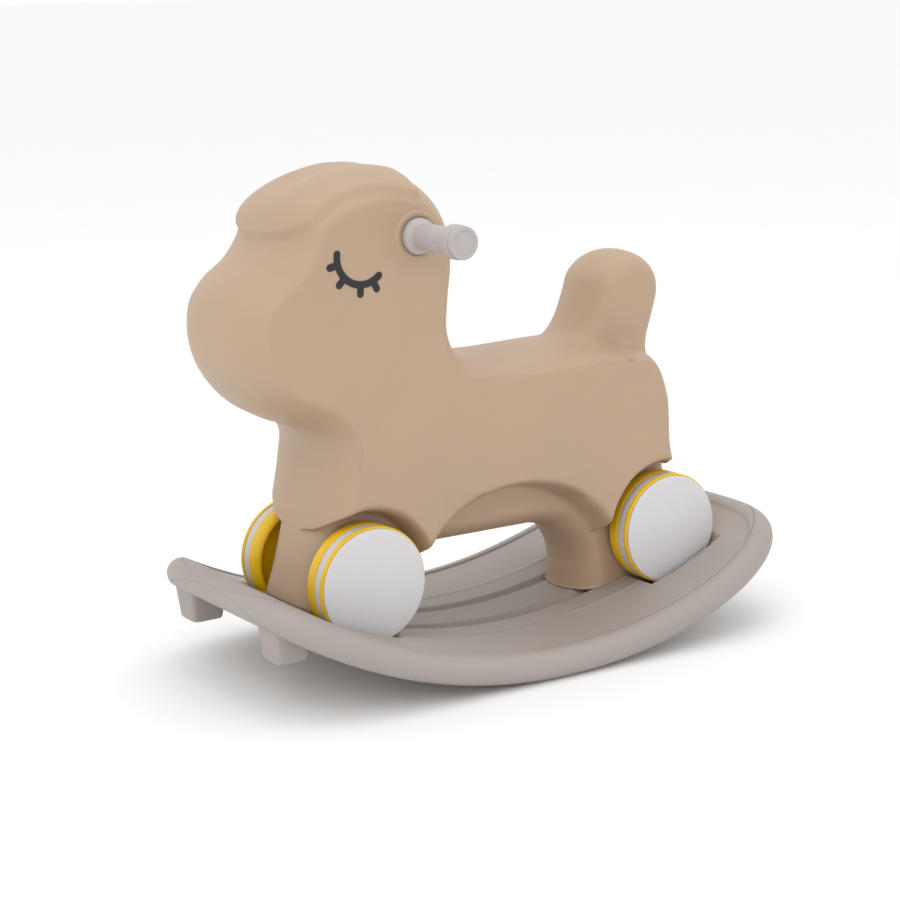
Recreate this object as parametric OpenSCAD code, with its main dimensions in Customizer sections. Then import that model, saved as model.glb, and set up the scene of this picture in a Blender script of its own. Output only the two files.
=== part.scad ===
// Toddler rocking animal with four wheels on a rocker board.
// The ride-on body lifts off the board and then rolls on its wheels.
// Millimetres. Origin on the floor under the middle of the board, +Z up,
// the nose points to -Y and the animal's left side is +X.

/* [Rocker board] */
// length of the board, nose end to tail end
board_length = 570; // [480:5:680]
// width of the board
board_width = 315; // [270:5:360]
// radius of the curved underside that rocks on the floor
rocker_radius = 520; // [440:5:640]
// height of the board, top skin to bottom skin
board_thickness = 28; // [22:1:36]
// how square the board is in plan, 2 is an ellipse
board_squareness = 4.6; // [2.5:0.1:7]
// wall of the blown double-skin board
board_wall = 2.6; // [2:0.1:4]
// distance of the raised rim line from the edge
rim_inset = 17; // [12:1:26]
// depth of the long grooves in the top skin
groove_depth = 4; // [2:0.5:8]
// width of each long groove
groove_width = 15; // [8:1:24]
// sideways place of each long groove from the middle
groove_offset = 30; // [22:1:44]
// half length of the long grooves
groove_half_length = 118; // [60:2:170]
// gap between a wheel and the well that holds it
well_gap = 3.2; // [2:0.2:6]
// sideways place of the four anti-tip lugs
lug_offset = 80; // [60:2:110]
// lengthwise place of the lugs
lug_y = 254; // [200:2:262]
// lug size at the root
lug_root = 46; // [30:1:60]
// lug size at its flat foot
lug_foot = 30; // [20:1:44]
// how far a lug stands below the underside
lug_drop = 19; // [8:1:28]

/* [Body] */
// overall height, floor to the top of the head
overall_height = 460; // [400:5:540]
// greatest half width before the flat flank cuts it
flank_bulge = 79; // [70:1:95]
// half width over the flat flanks
flank_half_width = 72.5; // [60:0.5:85]
// half width of the legs and keel between the wheels
keel_half_width = 42; // [32:1:50]
// half width of the tail
tail_half_width = 37; // [24:1:50]
// how deep the edge rounding of head and rump reaches
edge_round = 40; // [24:1:50]
// edge rounding of legs and keel
keel_round = 22; // [10:1:32]
// wall of the blown body
body_wall = 3; // [2:0.1:4.5]
// underside of the keel above the floor
keel_height = 108; // [96:1:130]
// radius of the arch cut in each flank between the legs
arch_radius = 122; // [90:1:180]
// top of that arch above the floor
arch_top = 157; // [130:1:180]
// lengthwise middle of that arch
arch_y = 2; // [-20:1:20]

/* [Wheels and axles] */
// lengthwise place of the front axle
front_axle_y = -160; // [-190:1:-130]
// lengthwise place of the rear axle
rear_axle_y = 174; // [140:1:190]
// height of both axles above the floor, on the board
axle_height = 96; // [90:1:110]
// radius of the light running band
tread_radius = 53; // [44:0.5:60]
// how far the coloured core stands out past the band
core_proud = 0.8; // [0.2:0.1:2]
// inner face of a wheel from the middle
wheel_inner_x = 46; // [42:0.5:56]
// width of a wheel without its cap
wheel_width = 30; // [22:0.5:40]
// radius of the white hub cap
cap_radius = 52; // [40:0.5:58]
// how far the cap bulges out
cap_dome = 3.4; // [1:0.2:8]
// radius of the steel axle rods
axle_radius = 4; // [3:0.25:6]
// radial running gap between axle and wheel bush
axle_gap = 0.06; // [0.01:0.01:0.1]
// wall of the plastic bush in each wheel
bush_wall = 2.5; // [1.5:0.1:4]
// gap kept between a wheel and the body beside it
arch_gap = 7; // [5:0.5:14]

/* [Handlebar] */
// overall width over both grips
handle_width = 295; // [240:1:330]
// lengthwise place of the handlebar
handle_y = -104; // [-130:1:-80]
// height of the handlebar above the floor
handle_height = 402; // [370:1:420]
// radius of the steel bar inside
bar_radius = 8; // [6:0.5:10]
// radial running gap of the bar in the head
bar_gap = 0.06; // [0.01:0.01:0.1]
// radius of a grip
grip_radius = 11.8; // [10:0.2:16]
// radius of the knob at the end of a grip
knob_radius = 15; // [12:0.5:20]
// radius of the flange next to the head
flange_radius = 16; // [12:0.5:20]
// outer radius of the raised ring on the head
boss_radius = 22; // [19:0.5:28]
// how far that ring stands out of the flank
boss_proud = 2; // [0.5:0.5:5]
// radial gap around the flange in the ring
flange_gap = 1.2; // [0.5:0.1:3]
// depth of the pocket for the flange
flange_pocket = 7; // [4:0.5:12]

// wall of the plain sleeves that line the holes in the body
sleeve_wall = 2; // [1:0.25:4]

/* [Fasteners] */
// lengthwise place of the front board bolt
front_bolt_y = -192; // [-205:1:-180]
// lengthwise place of the rear board bolt
rear_bolt_y = 122; // [105:1:140]
// thread radius of the board bolts
bolt_radius = 4; // [3:0.5:5]
// radius of the hole for the bolt in the board
bolt_hole_radius = 4.5; // [3.5:0.1:6]
// outer radius of the brass insert in a foot
insert_radius = 7.5; // [6:0.5:10]
// length of the brass insert
insert_length = 16; // [10:1:24]
// radius of the hand knob on a board bolt
turn_knob_radius = 17; // [12:1:22]
// height of the hand knob
turn_knob_height = 11; // [8:1:16]
// board skin left above each hand knob
seat_depth = 9; // [5:0.5:14]
// washer thickness
washer_height = 1.5; // [1:0.1:3]
// radius of the small vent left by the blow pin in each hollow moulding
vent_radius = 3; // [1.5:0.5:5]
// gap between the feet and the board
foot_gap = 0.4; // [0.3:0.1:1]

/* [Face] */
// raised thickness of each printed eye film
eye_film = 0.6; // [0.3:0.1:1.2]
// width of the eye line
eye_line = 6.5; // [4:0.5:9]
// radius of the closed eyelid arc
eye_radius = 24.5; // [18:0.5:36]
// lengthwise place of the middle of that arc
eye_y = -161; // [-185:1:-150]
// height of the middle of that arc
eye_z = 389; // [370:1:405]
// length of an eyelash past the lid line
lash_length = 8; // [4:0.5:14]

/* [Hidden] */
body_color = "#BEA38A";
board_color = "#ACA39C";
grip_color = "#B9B2B0";
tread_color = "#D6D4D6";
yellow_color = "#F0C800";
white_color = "#E4E2E4";
steel_color = "#B4B6B8";
brass_color = "#B99A4B";
dark_color = "#2A292E";
$fn = 72;

flank = flank_half_width;
core_radius = tread_radius + core_proud;
wheel_outer_x = wheel_inner_x + wheel_width;
well_radius = core_radius + well_gap;
bush_radius = axle_radius + axle_gap + bush_wall;
board_inner_radius = rocker_radius - board_thickness;
board_mid_radius = rocker_radius - board_thickness / 2;
bar_half = handle_width / 2 - 8;
pocket_x = flank + boss_proud - flange_pocket;
half_length = board_length / 2;
half_width = board_width / 2;

// side outlines as [y, z], nose to tail
head_top = overall_height;
top_line = [
    [-212, 100], [-204, 128], [-195, 165], [-189, 195], [-189, 216], [-202, 234],
    [-227, 245], [-252, 261], [-271, 287], [-279, 318], [-275, 350], [-259, 373],
    [-238, 389], [-225, 406], [-216, head_top - 32], [-196, head_top - 16],
    [-163, head_top - 4], [-127, head_top], [-92, head_top - 7], [-68, head_top - 24],
    [-53, head_top - 50], [-48, 375], [-52, 340], [-53, 312], [-41, 291], [-17, 282],
    [18, 280], [58, 281], [98, 282], [136, 280], [166, 272], [186, 254], [196, 232],
    [199, 206], [200, 180], [207, 150], [214, 118]];
low_line = [
    [-186, 88], [-180, 98], [-176, 108], [-170, 118], [-164, 128], [-158, 132],
    [-152, 134], [-147, 136], [-142, 138], [-136, 140], [-130, 140], [-124, 140],
    [-118, 138], [-112, 136], [-106, 134], [-100, 132], [-92, 130], [-84, 128],
    [-76, 126], [-68, 124], [-58, 122], [-46, 120], [-34, 118], [-22, 116], [-10, 114],
    [4, 112], [20, 110], [40, 108], [62, 106], [84, 104], [104, 104], [122, 104],
    [138, 104], [152, 104], [164, 103], [174, 102], [184, 100]];
// halfway points of the ribs between those two lines: up the neck, then straight
rib_middle = concat([
    [-199, 94], [-192, 113], [-185, 137], [-174, 162], [-167, 190], [-173, 225], [-184, 262],
    [-185, 275], [-182, 284], [-176, 292], [-170, 296], [-163, 297], [-156, 297], [-149, 297],
    [-142, 297], [-135, 296], [-128, 295], [-121, 293], [-114, 290], [-107, 285], [-100, 277],
    [-94, 265], [-88, 250], [-80, 236], [-66, 220], [-40, 205], [0, 200]],
    [for (i = [27 : 36]) (top_line[i] + low_line[i]) / 2]);
leg_out = [
    [-222, 60], [-218, 82], [-210, 104], [-201, 134], [-192, 168], [-180, 205],
    [-140, 222], [-60, 226], [0, 226], [60, 226], [120, 226], [172, 222], [194, 196],
    [201, 166], [208, 134], [216, 104], [221, 82], [224, 58]];
leg_in = [
    [-122, 24], [-122, 46], [-118, 68], [-111, 88], [-98, 101], [-80, keel_height - 1],
    [-60, keel_height], [-30, keel_height], [0, keel_height], [30, keel_height],
    [52, keel_height], [70, keel_height - 2], [84, 98], [92, 84], [95, 70], [95, 56],
    [94, 40], [92, 20]];
tail_out = [
    [84, 262], [97, 284], [110, 300], [118, 322], [126, 343], [142, 357], [163, 362],
    [184, 356], [197, 341], [200, 321], [194, 298], [187, 274], [186, 250]];
tail_in = [
    [100, 236], [106, 240], [112, 244], [120, 246], [128, 247], [136, 248], [144, 248],
    [152, 247], [158, 246], [164, 244], [168, 241], [172, 238], [174, 234]];

tail_middle = [
    [94, 248], [108, 262], [124, 276], [136, 292], [145, 306], [152, 314], [159, 318],
    [166, 314], [172, 306], [175, 293], [177, 276], [178, 258], [179, 244]];
leg_middle = (leg_out + leg_in) / 2;

function clamp(v, lo, hi) = max(lo, min(hi, v));
function lerp(a, b, t) = a + (b - a) * t;
function pick(p, i) = p[clamp(i, 0, len(p) - 1)];
// smooth curve through a list of points, s counts along the list
function curve(p, s) =
    let (i = min(floor(s), len(p) - 2), t = s - i,
         a = pick(p, i - 1), b = p[i], c = p[i + 1], d = pick(p, i + 2))
    0.5 * (2 * b + (c - a) * t + (2 * a - 5 * b + 4 * c - d) * t * t
           + (3 * b - a - 3 * c + d) * t * t * t);
function from_line(q, a, b) =
    let (ab = b - a, t = clamp(((q - a) * ab) / (ab * ab), 0, 1)) norm(q - a - t * ab);
function from_path(q, p) = min([for (i = [0 : len(p) - 2]) from_line(q, p[i], p[i + 1])]);
// quarter ellipse: 0 at the edge, 1 where the rounding ends
function bulge(s) = sqrt(max(0, 1 - pow(1 - clamp(s, 0, 1), 2)));

// where a rib is cut, 0 at the inner line and 1 at the outer: close together in the rounding
function rib_steps(cut, edge, start, both_edges, steps) =
    let (e = min(edge, 0.45), round = [for (k = [0 : steps])
             cut + (e - cut) * (1 - cos(90 * k / steps))])
    concat(both_edges ? round : [start], [for (k = [1 : 3]) lerp(both_edges ? e : start, 1 - e, k / 4)],
           [for (k = [steps : -1 : 0]) 1 - round[k]]);

// A pillow between two side outlines: ribs run from the inner line to the outer line,
// and its half width falls to nothing over `edge` at the outer line, and at the inner
// line too when both_edges is set. inset gives the same pillow, that much smaller.
module pillow(outer, inner, middle, width, cap, edge, both_edges, inset, ribs, steps) {
    path_out = [for (i = [0 : ribs]) curve(outer, i * (len(outer) - 1) / ribs)];
    path_in = [for (i = [0 : ribs]) curve(inner, i * (len(inner) - 1) / ribs)];
    first = inset > 0 ? 1 : 0;
    last = inset > 0 ? ribs - 1 : ribs;
    side = [for (i = [first : last])
        let (a = path_in[i], b = path_out[i],
             bow = curve(middle, i * (len(middle) - 1) / ribs) - (a + b) / 2,
             speed = norm(b - a - 4 * bow), cut = inset > 0 ? (inset + 1) / speed : 0,
             start = inset > 0 ? min(24 / norm(b - a + 4 * bow), 0.3) : 0)
        [for (t = rib_steps(cut, edge / speed, start, both_edges, steps))
            let (
                 q = lerp(a, b, t) + 4 * t * (1 - t) * bow,
                 d_out = from_path(q, path_out),
                 d = both_edges ? min(d_out, from_path(q, path_in)) : d_out,
                 hw = min(cap, width * bulge(max(d - inset / 2, 0.02) / edge)) - inset)
            [max(hw, 0.3), q[0], q[1]]]];
    last_j = len(side[0]) - 1;
    ring = 2 * (last_j + 1);
    rows = last - first + 1;
    points = [for (row = side) each concat(row,
        [for (j = [last_j : -1 : 0]) [-row[j][0], row[j][1], row[j][2]]])];
    skin = [for (i = [0 : rows - 2]) for (j = [0 : ring - 1])
        let (a = i * ring + j, b = i * ring + (j + 1) % ring, c = b + ring, d = a + ring)
        each norm(points[a] - points[c]) < norm(points[b] - points[d])
            ? [[a, c, d], [a, b, c]] : [[a, b, d], [b, c, d]]];
    start = [for (j = [0 : last_j - 1])
        let (k = ring - 1 - j) each [[j, k - 1, j + 1], [j, k, k - 1]]];
    z = (rows - 1) * ring;
    end = [for (j = [0 : last_j - 1])
        let (k = ring - 1 - j) each [[z + j, z + j + 1, z + k - 1], [z + j, z + k - 1, z + k]]];
    polyhedron(points, concat(skin, start, end));
}

module across(y, z, radius, from_x, to_x) {
    translate([from_x, y, z]) rotate([0, 90, 0]) cylinder(h = to_x - from_x, r = radius);
}
module across_both(y, z, radius, from_x, to_x) {
    for (s = [0, 1]) mirror([s, 0, 0]) across(y, z, radius, from_x, to_x);
}
module upright(y, radius, low, high) {
    translate([0, y, low]) cylinder(h = high - low, r = radius);
}
// a profile of [radius, x] points spun about a crosswise axis
module spun(y, z, profile) {
    translate([0, y, z]) rotate([0, 90, 0]) rotate_extrude() polygon(profile);
}
function skin_z(radius, y) = rocker_radius - sqrt(radius * radius - y * y);

// ---- rocker board ----

// The board as a curved plate with round edges, inset from every skin. Its rows run
// across the board and lie close together near the ends, where the rounding is.
module plate(inset) {
    t = board_thickness / 2;
    a = half_width - inset;
    b = board_mid_radius * asin((half_length - t) / board_mid_radius) * PI / 180 + t - inset;
    n = board_squareness;
    r = t - inset;
    near = [0.05, 0.6, 1.8, 4, 7, 10.5, 15, 21, 29, 40, 54, 70];
    flat = b - 70;
    rows = concat([for (e = near) e - b], [for (i = [1 : 17]) flat * (i / 9 - 1)],
                  [for (i = [len(near) - 1 : -1 : 0]) b - near[i]]);
    function gap(x, s) = let (f = pow(pow(abs(x) / a, n) + pow(abs(s) / b, n), 1 / n))
        f < 0.5 ? t : (1 - f) * pow(f, n - 1)
            / norm([pow(abs(x) / a, n - 1) / a, pow(abs(s) / b, n - 1) / b]);
    function place(x, s, up) =
        let (turn = s / board_mid_radius * 180 / PI,
             q = board_mid_radius - up * r * bulge(gap(x, s) / r))
        [x, q * sin(turn), rocker_radius - q * cos(turn)];
    function columns(s) =
        let (w = a * pow(1 - pow(abs(s) / b, n), 1 / n), e = min(r, w / 2),
             side = [for (k = [0 : 5]) w - e * (1 - cos(18 * k))])
        concat(side, [side[5] / 2, 0, -side[5] / 2], [for (k = [5 : -1 : 0]) -side[k]]);
    m = len(columns(0));
    ring = 2 * m - 2;
    points = [for (s = rows) let (x = columns(s)) each concat(
        [for (j = [0 : m - 1]) place(x[j], s, 1)], [for (j = [m - 2 : -1 : 1]) place(x[j], s, -1)])];
    skin = [for (i = [0 : len(rows) - 2]) for (j = [0 : ring - 1])
        let (p = i * ring + j, q = i * ring + (j + 1) % ring)
        each [[p, q, q + ring], [p, q + ring, p + ring]]];
    z = (len(rows) - 1) * ring;
    low = [for (j = [0 : m - 2]) let (u = j == 0 ? 0 : ring - j, v = ring - j - 1) each concat(
        j < m - 2 ? [[j, v, j + 1]] : [], j > 0 ? [[j, u, v]] : [])];
    high = [for (f = low) [z + f[0], z + f[2], z + f[1]]];
    polyhedron(points, concat(skin, low, high));
}

module wells(grow) {
    for (y = [front_axle_y, rear_axle_y])
        across_both(y, axle_height, well_radius + grow, wheel_inner_x - well_gap - grow,
                    wheel_outer_x + cap_dome + 2 + well_gap + grow);
}
// a band that follows the top skin, for the long grooves
module groove(x, grow) {
    intersection() {
        translate([x - groove_width / 2 - grow, 0, rocker_radius]) rotate([0, 90, 0])
            difference() {
                cylinder(h = groove_width + 2 * grow, r = board_inner_radius + groove_depth + grow, $fn = 180);
                translate([0, 0, -1]) cylinder(h = groove_width + 2 * grow + 2,
                                               r = board_inner_radius - 6, $fn = 180);
            }
        translate([-half_width, -groove_half_length - grow, -5])
            cube([board_width, 2 * (groove_half_length + grow), 120]);
    }
}
module lug(s, t) {
    y = t * lug_y;
    low = skin_z(rocker_radius, lug_y) - lug_drop;
    translate([s * lug_offset, y, low])
        hull() {
            translate([-lug_foot / 2, -lug_foot / 2, 0]) cube([lug_foot, lug_foot, 2]);
            translate([-lug_root / 2, -lug_root / 2, lug_drop + 8]) cube([lug_root, lug_root, 2]);
        }
}
module bolt_places() {
    for (y = [front_bolt_y, rear_bolt_y])
        translate([0, y, skin_z(board_inner_radius, y)]) children();
}
module rocker_board() {
    $fn = 48;
    // the plate's overall size is the exact one
    color(board_color) resize([board_width, board_length, 0]) difference() {
        union() {
            plate(0);
            for (s = [-1, 1]) for (t = [-1, 1]) lug(s, t);
        }
        difference() {
            plate(board_wall);
            wells(board_wall);
            for (s = [-1, 1]) groove(s * groove_offset, board_wall);
            bolt_places() translate([0, 0, -60]) cylinder(h = 80, r = turn_knob_radius + 6);
        }
        wells(0);
        for (s = [-1, 1]) groove(s * groove_offset, 0);
        upright(30, vent_radius, -5, 12);
        bolt_places() {
            translate([0, 0, -60]) cylinder(h = 80, r = bolt_hole_radius);
            translate([0, 0, -60]) cylinder(h = 60 - seat_depth, r = turn_knob_radius + 2.5);
        }
    }
}
module turn_knobs() {
    color(grip_color) bolt_places()
        translate([0, 0, -seat_depth - washer_height - 0.2 - turn_knob_height])
            difference() {
                union() {
                    cylinder(h = turn_knob_height - 3, r = turn_knob_radius - 2.5);
                    for (a = [0 : 60 : 300]) rotate([0, 0, a])
                        translate([turn_knob_radius - 5, 0, 0])
                            cylinder(h = turn_knob_height - 3, r = 5);
                    cylinder(h = turn_knob_height, r = 9);
                }
                translate([0, 0, 3]) cylinder(h = turn_knob_height, r = bolt_radius + 0.1);
            }
}
module board_washers() {
    color(steel_color) bolt_places()
        translate([0, 0, -seat_depth - washer_height]) difference() {
            cylinder(h = washer_height - 0.1, r = 10);
            translate([0, 0, -1]) cylinder(h = 4, r = bolt_radius + 0.3);
        }
}
module board_bolts() {
    color(steel_color) bolt_places()
        translate([0, 0, -seat_depth - washer_height - turn_knob_height + 3.2])
            cylinder(h = seat_depth + washer_height + turn_knob_height - 3.2 + insert_length, r = bolt_radius);
}

// ---- ride-on body ----

// what is cut from the flanks beside the wheels and between the legs
module flank_cuts(grow) {
    x = keel_half_width - 1.5 - grow;
    for (y = [front_axle_y, rear_axle_y])
        across_both(y, axle_height, core_radius + arch_gap + grow, x, 110);
    across_both(arch_y, arch_top - arch_radius, arch_radius + grow, x, 110);
    for (s = [0, 1]) mirror([s, 0, 0])
        translate([x, -240, 20]) cube([80, 480, axle_height - 16 + grow]);
}
module upper(inset, ribs, steps) {
    difference() {
        pillow(top_line, low_line, rib_middle, flank_bulge, flank, edge_round, false, inset, ribs, steps);
        flank_cuts(inset);
    }
}
module keel(inset, ribs, steps) {
    pillow(leg_out, leg_in, leg_middle, keel_half_width + 1, keel_half_width, keel_round, true,
           inset, ribs, steps);
}
module tail(inset, ribs, steps) {
    pillow(tail_out, tail_in, tail_middle, tail_half_width, tail_half_width, 30, false, inset, ribs, steps);
}
module foot_posts(radius, height) {
    bolt_places() translate([0, 0, -8]) cylinder(h = height + 8, r = radius);
}
// everything under the feet: they stand on the board's curved top
module below_feet(grow) {
    difference() {
        translate([-60, -300, -20]) cube([120, 600, 150]);
        translate([-70, 0, rocker_radius]) rotate([0, 90, 0])
            cylinder(h = 140, r = board_inner_radius - foot_gap - grow, $fn = 180);
    }
}
module body_shell() {
    $fn = 40;
    // the width over the two rings is the exact one
    color(body_color) resize([2 * (flank + boss_proud), 0, 0]) difference() {
        union() {
            upper(0, 64, 6);
            keel(0, 46, 4);
            tail(0, 24, 5);
            across_both(handle_y, handle_height, boss_radius, flank - 8, flank + boss_proud);
        }
        difference() {
            union() {
                upper(body_wall, 48, 3);
                keel(body_wall, 30, 2);
                tail(body_wall, 16, 3);
            }
            across(handle_y, handle_height, sleeve_radius(bar_radius) + body_wall, -90, 90);
            across_both(handle_y, handle_height, flange_radius + flange_gap + body_wall,
                        pocket_x - body_wall, 90);
            for (y = [front_axle_y, rear_axle_y])
                across(y, axle_height, sleeve_radius(axle_radius) + body_wall, -90, 90);
            foot_posts(insert_radius + body_wall, insert_length + 4);
            below_feet(body_wall);
            across(top_line[4][0], top_line[4][1], 30, -90, 90);
        }
        across(handle_y, handle_height, sleeve_radius(bar_radius) + 0.15, -90, 90);
        across_both(handle_y, handle_height, flange_radius + flange_gap, pocket_x, 90);
        for (y = [front_axle_y, rear_axle_y])
            across(y, axle_height, sleeve_radius(axle_radius) + 0.1, -90, 90);
        foot_posts(insert_radius + 0.05, insert_length + 1);
        upright(30, vent_radius, keel_height - 5, keel_height + 40);
        below_feet(0);
    }
}
// plain bearing sleeves in the moulded-through holes
function sleeve_radius(rod) = rod + sleeve_wall;
module sleeve(y, z, bore, outer, reach) {
    difference() {
        across(y, z, outer, -reach, reach);
        across(y, z, bore, -reach - 1, reach + 1);
    }
}
module handle_sleeve() {
    color(steel_color) sleeve(handle_y, handle_height, bar_radius + bar_gap,
                              sleeve_radius(bar_radius), pocket_x - 0.4);
}
module axle_sleeves() {
    color(steel_color) for (y = [front_axle_y, rear_axle_y])
        sleeve(y, axle_height, axle_radius + 0.05, sleeve_radius(axle_radius), keel_half_width);
}
module foot_inserts() {
    color(brass_color) bolt_places() translate([0, 0, 4]) difference() {
        cylinder(h = insert_length - 3, r = insert_radius);
        translate([0, 0, -1]) cylinder(h = insert_length, r = bolt_radius + 0.06);
    }
}
// closed eye: a lid arc with four lashes, drawn in the side plane
module eye_shape() {
    w = eye_line / 2;
    ends = [171, 313];
    function on(a, r) = [eye_y + r * cos(a), eye_z + r * sin(a)];
    union() {
        polygon(concat(
            [for (a = [ends[0] : 2 : ends[1]]) on(a, eye_radius + w)],
            [for (a = [ends[1] : -2 : ends[0]]) on(a, eye_radius - w)]));
        for (a = ends) translate(on(a, eye_radius)) circle(r = w);
        for (a = [193, 225, 266, 296]) {
            translate(on(a, eye_radius + lash_length)) circle(r = w);
            translate(on(a, eye_radius)) rotate(a)
                translate([0, -w]) square([lash_length, 2 * w]);
        }
    }
}
module eye(side) {
    color(dark_color) mirror([side, 0, 0]) translate([flank + 0.05, 0, 0])
        rotate([90, 0, 90]) linear_extrude(height = eye_film) eye_shape();
}
module eye_left() { eye(0); }
module eye_right() { eye(1); }

axle_half = wheel_inner_x + 31;
module axle(y) {
    color(steel_color) across(y, axle_height, axle_radius, -axle_half, axle_half);
}
module axle_front() { axle(front_axle_y); }
module axle_rear() { axle(rear_axle_y); }
// plain rings on the axles, one beside each wheel
module rings(from_x, to_x, outer, bore) {
    for (y = [front_axle_y, rear_axle_y]) for (s = [0, 1]) mirror([s, 0, 0])
        difference() {
            across(y, axle_height, outer, from_x, to_x);
            across(y, axle_height, bore, from_x - 1, to_x + 1);
        }
}
module axle_spacers() {
    color(grip_color) rings(keel_half_width + 0.1, wheel_inner_x - 0.3, 8, axle_radius + 0.1);
}
module axle_push_nuts() {
    color(steel_color) rings(wheel_inner_x + 28.4, wheel_inner_x + 30, 7, axle_radius + 0.02);
}

// ---- wheels, drawn outwards from the inner face ----

module wheel_core(y) {
    b = bush_radius + 0.05;
    c = core_radius;
    seat = tread_radius - 3;
    color(yellow_color) spun(y, axle_height, [for (p = [
        [b, 0.4], [12, 0.4], [13, 1.5], [13, 9], [44, 9], [45, 8], [45, 3], [47, 0.6], [49, 0],
        [51.5, 0.8], [c - 0.6, 3.2], [c, 6], [c, 14], [c - 0.5, 15], [seat, 15], [seat, 25],
        [c - 0.5, 25], [c, 25.6], [c, 28.6], [c - 0.8, wheel_width - 0.6],
        [c - 2, wheel_width - 0.4], [46, wheel_width - 0.4], [46, 14], [45, 13], [13, 13], [12, 14],
        [12, 28], [b, 28]]) [p[0], p[1] + wheel_inner_x]]);
}
module tread_band(y) {
    t = tread_radius;
    color(tread_color) spun(y, axle_height, [for (p = [
        [t - 2.95, 15.1], [t - 0.8, 15.1], [t - 0.2, 15.6], [t, 16.6], [t, 23.4], [t - 0.2, 24.4],
        [t - 0.8, 24.9], [t - 2.95, 24.9]]) [p[0], p[1] + wheel_inner_x]]);
}
module hub_cap(y) {
    x = wheel_outer_x;
    r = cap_radius;
    function dome(s) = cap_dome * (1 - s * s);
    color(white_color) spun(y, axle_height, concat(
        [for (i = [0 : 8]) [r * i / 8 - (i == 8 ? 0.8 : 0), x + 2 + dome(i / 8)]],
        [[r, x + 1.2], [r, x + 0.1], [45.8, x + 0.1], [45.8, x - 6], [43.8, x - 6], [43.8, x + 0.4]],
        [for (i = [6 : -1 : 0]) [43 * i / 6, x + dome(43 * i / 6 / r)]]));
}
module wheel_bush(y) {
    color(grip_color) difference() {
        across(y, axle_height, bush_radius, wheel_inner_x + 0.1, wheel_inner_x + 28.1);
        across(y, axle_height, axle_radius + axle_gap, wheel_inner_x - 1, wheel_inner_x + 30);
    }
}
module right() { mirror([1, 0, 0]) children(); }
module wheel_front_left_core() { wheel_core(front_axle_y); }
module wheel_front_left_tread() { tread_band(front_axle_y); }
module wheel_front_left_cap() { hub_cap(front_axle_y); }
module wheel_front_left_bush() { wheel_bush(front_axle_y); }
module wheel_front_right_core() { right() wheel_core(front_axle_y); }
module wheel_front_right_tread() { right() tread_band(front_axle_y); }
module wheel_front_right_cap() { right() hub_cap(front_axle_y); }
module wheel_front_right_bush() { right() wheel_bush(front_axle_y); }
module wheel_rear_left_core() { wheel_core(rear_axle_y); }
module wheel_rear_left_tread() { tread_band(rear_axle_y); }
module wheel_rear_left_cap() { hub_cap(rear_axle_y); }
module wheel_rear_left_bush() { wheel_bush(rear_axle_y); }
module wheel_rear_right_core() { right() wheel_core(rear_axle_y); }
module wheel_rear_right_tread() { right() tread_band(rear_axle_y); }
module wheel_rear_right_cap() { right() hub_cap(rear_axle_y); }
module wheel_rear_right_bush() { right() wheel_bush(rear_axle_y); }

// ---- handlebar ----

module handle_bar() {
    color(steel_color) difference() {
        across(handle_y, handle_height, bar_radius, -bar_half, bar_half);
        across(handle_y, handle_height, bar_radius - 1.5, -bar_half - 1, bar_half + 1);
    }
}
module grip() {
    b = bar_radius + 0.05;
    x = pocket_x + 0.5;
    e = handle_width / 2;
    g = grip_radius;
    k = knob_radius;
    color(grip_color) spun(handle_y, handle_height, [
        [b, x], [flange_radius - 0.6, x], [flange_radius, x + 0.8], [flange_radius, x + 10],
        [flange_radius - 0.8, x + 11.4], [g + 2, x + 13], [g + 0.5, x + 15], [g, x + 18],
        [g, e - 34], [g - 0.7, e - 33.4], [g - 0.7, e - 32.6], [g, e - 32], [g, e - 30],
        [g - 0.7, e - 29.4], [g - 0.7, e - 28.6], [g, e - 28], [g, e - 21], [g + 0.8, e - 20],
        [k - 1.2, e - 19], [k, e - 17.6], [k, e - 8], [k - 0.8, e - 6.6], [k - 2, e - 6],
        [b, e - 6]]);
}
module grip_end() {
    e = handle_width / 2;
    k = knob_radius;
    color(grip_color) spun(handle_y, handle_height, [
        [0, e - 5.9], [k - 1, e - 5.9], [k - 0.6, e - 5.2], [k - 0.6, e - 1], [k - 1.2, e],
        [k - 4, e], [k - 4.6, e - 0.8], [0, e - 0.8]]);
}
module grip_left() { grip(); }
module grip_right() { right() grip(); }
module grip_end_left() { grip_end(); }
module grip_end_right() { right() grip_end(); }

rocker_board();
turn_knobs();
board_washers();
board_bolts();
body_shell();
foot_inserts();
handle_sleeve();
axle_sleeves();
eye_left();
eye_right();
axle_front();
axle_rear();
axle_spacers();
axle_push_nuts();
wheel_front_left_core();
wheel_front_left_tread();
wheel_front_left_cap();
wheel_front_left_bush();
wheel_front_right_core();
wheel_front_right_tread();
wheel_front_right_cap();
wheel_front_right_bush();
wheel_rear_left_core();
wheel_rear_left_tread();
wheel_rear_left_cap();
wheel_rear_left_bush();
wheel_rear_right_core();
wheel_rear_right_tread();
wheel_rear_right_cap();
wheel_rear_right_bush();
handle_bar();
grip_left();
grip_right();
grip_end_left();
grip_end_right();
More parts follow.
